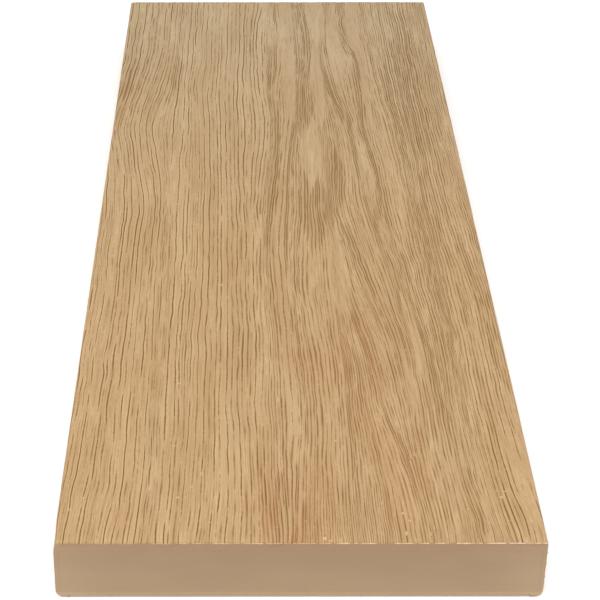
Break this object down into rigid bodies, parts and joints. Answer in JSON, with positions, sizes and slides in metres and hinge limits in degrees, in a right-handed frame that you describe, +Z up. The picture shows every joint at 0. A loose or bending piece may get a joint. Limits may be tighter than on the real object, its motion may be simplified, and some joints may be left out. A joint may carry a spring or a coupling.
{
  "type": "threshold strip",
  "caption": "Flat wood-effect threshold strip: a laminated board in a grain-embossed skin with eased edges, slightly drafted sides and square saw-cut ends.",
  "frame": {"origin": "middle of the underside, on the surface that the strip lies on", "axes": "+Z up out of the embossed face, +Y along the strip, +X across it"},
  "size_m": [0.145, 0.375, 0.022],
  "materials": {
    "wood_effect_skin": "satin matt, embossed with flat-sawn oak grain in honey and light brown",
    "fibre_mat": "matt, cut fibre ends in tan resin",
    "filled_core": "matt, fine sawn surface of filled resin, tan",
    "backing_skin": "matt, plain tan with a faint moulded texture"
  },
  "bodies": {
    "root": {"wear_skin": "wood_effect_skin", "upper_fibre_mat": "fibre_mat", "core_board": "filled_core", "lower_fibre_mat": "fibre_mat", "backing_skin": "backing_skin"}
  },
  "joints": []
}
